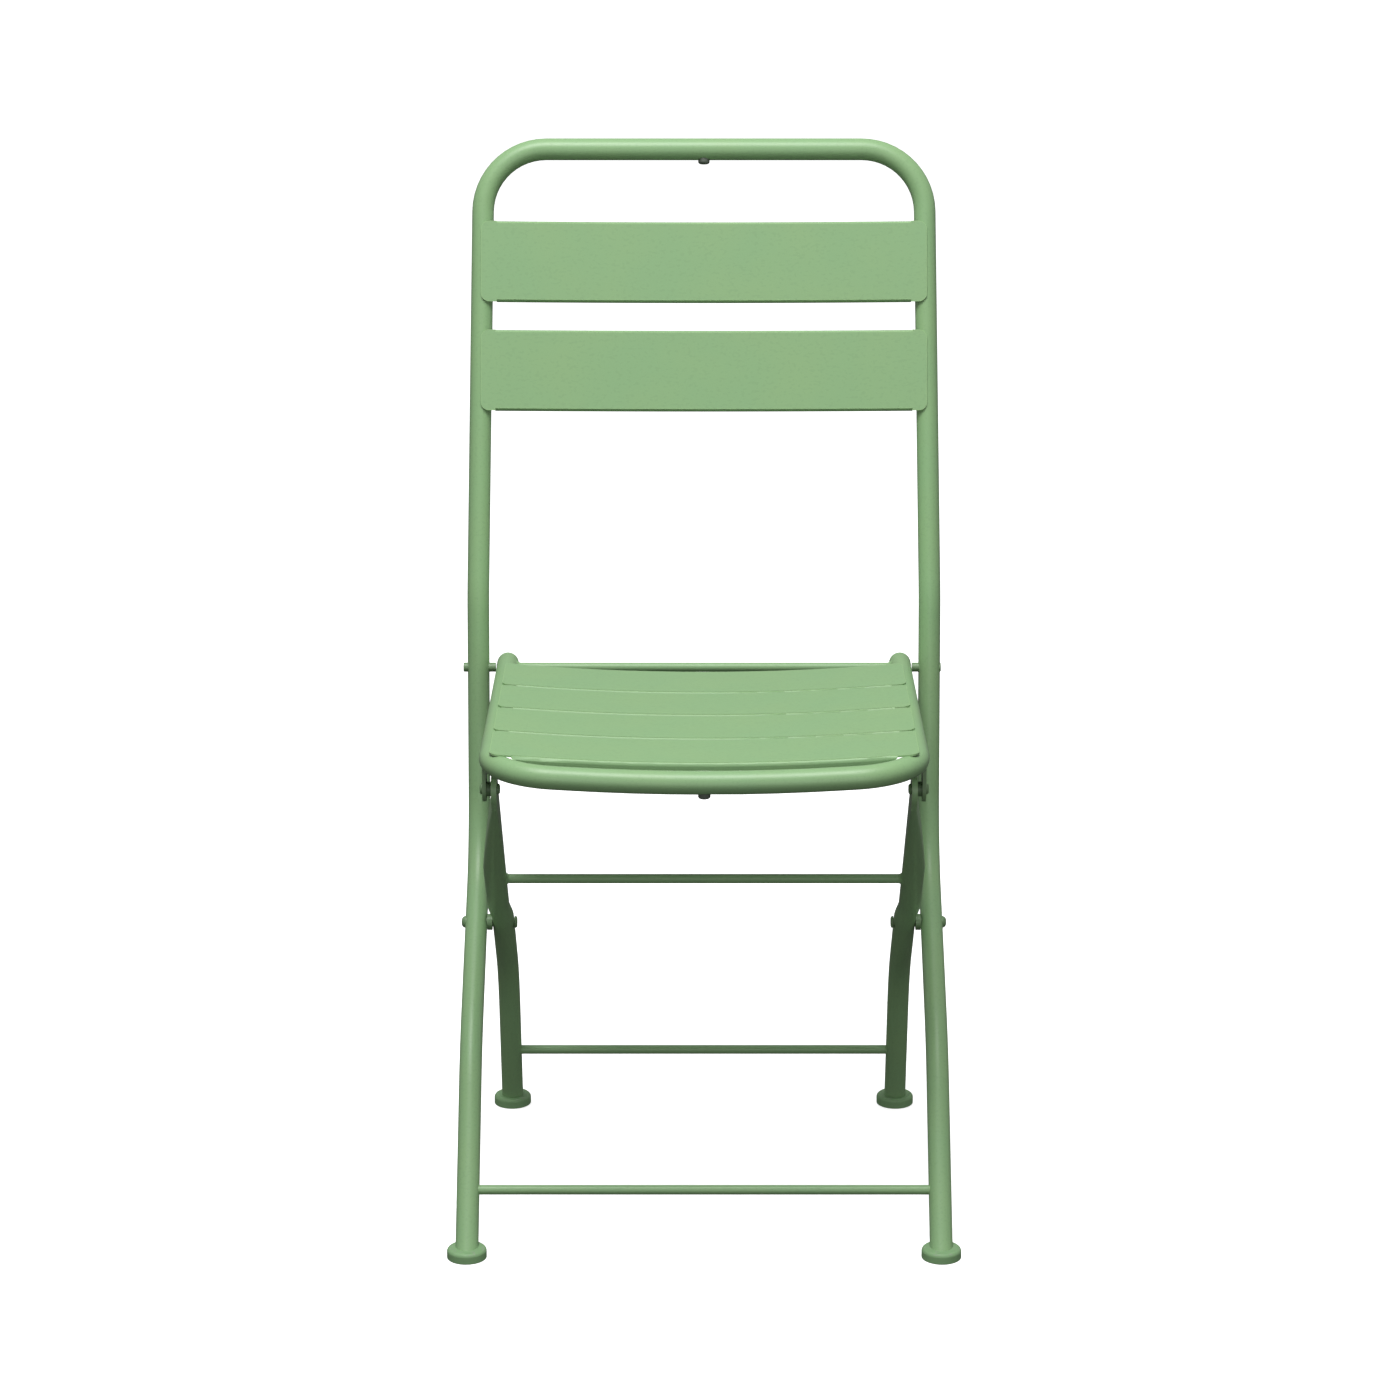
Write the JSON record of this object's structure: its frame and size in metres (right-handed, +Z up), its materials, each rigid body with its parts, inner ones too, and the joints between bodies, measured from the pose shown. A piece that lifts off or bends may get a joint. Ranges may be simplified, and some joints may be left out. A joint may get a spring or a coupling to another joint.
{
  "type": "folding chair",
  "caption": "Folding metal garden chair: bent tube frame, crossed rear legs, dished slatted seat that tips up to fold, and a slatted back.",
  "frame": {"origin": "on the floor, at the middle of the open chair's box seen from above", "axes": "+Z up, -Y the way a sitter faces (the front), +X to the right of someone who stands in front of the chair and looks at it"},
  "size_m": [0.426, 0.5036, 0.8605],
  "materials": {
    "green_coat": "sage green satin powder coat on steel",
    "coated_hardware": "thin, duller green coat on rivets, washers and studs",
    "green_plastic": "sage green moulded plastic, satin",
    "grey_plug": "dark grey soft plug"
  },
  "bodies": {
    "main_frame": {"main_frame_tube": "green_coat", "upper_back_slat": "green_coat", "lower_back_slat": "green_coat", "front_cross_rod": "green_coat", "crest_plug": "grey_plug", "front_foot_left": "green_plastic", "front_foot_right": "green_plastic", "scissor_rivets": "coated_hardware", "scissor_washers": "coated_hardware", "seat_stud_left": "coated_hardware", "seat_stud_right": "coated_hardware"},
    "rear_legs": {"rear_leg_left": "green_coat", "rear_leg_right": "green_coat", "upper_rear_rod": "green_coat", "lower_rear_rod": "green_coat", "rear_foot_left": "green_plastic", "rear_foot_right": "green_plastic"},
    "seat": {"seat_frame_tube": "green_coat", "seat_rear_rod": "green_coat", "seat_slat_1": "green_coat", "seat_slat_2": "green_coat", "seat_slat_3": "green_coat", "seat_slat_4": "green_coat", "seat_tab_left": "green_coat", "seat_tab_right": "green_coat", "tab_rivets": "coated_hardware", "tab_spacers": "coated_hardware", "seat_end_caps": "green_plastic", "seat_plug": "grey_plug"}
  },
  "joints": [
    {"name": "rear_legs_fold", "type": "hinge", "parent": "main_frame", "child": "rear_legs", "pos_m": [0, 0.01362, 0.217], "axis": [-1, 0, 0], "range_deg": [0, 64.91]},
    {"name": "seat_fold", "type": "hinge", "parent": "rear_legs", "child": "seat", "pos_m": [0, -0.17925, 0.39812], "axis": [-1, 0, 0], "range_deg": [0, 41.18]}
  ],
  "couplings": [
    {"joint": "seat_fold", "follows": "rear_legs_fold", "ratio": 0.63426}
  ]
}
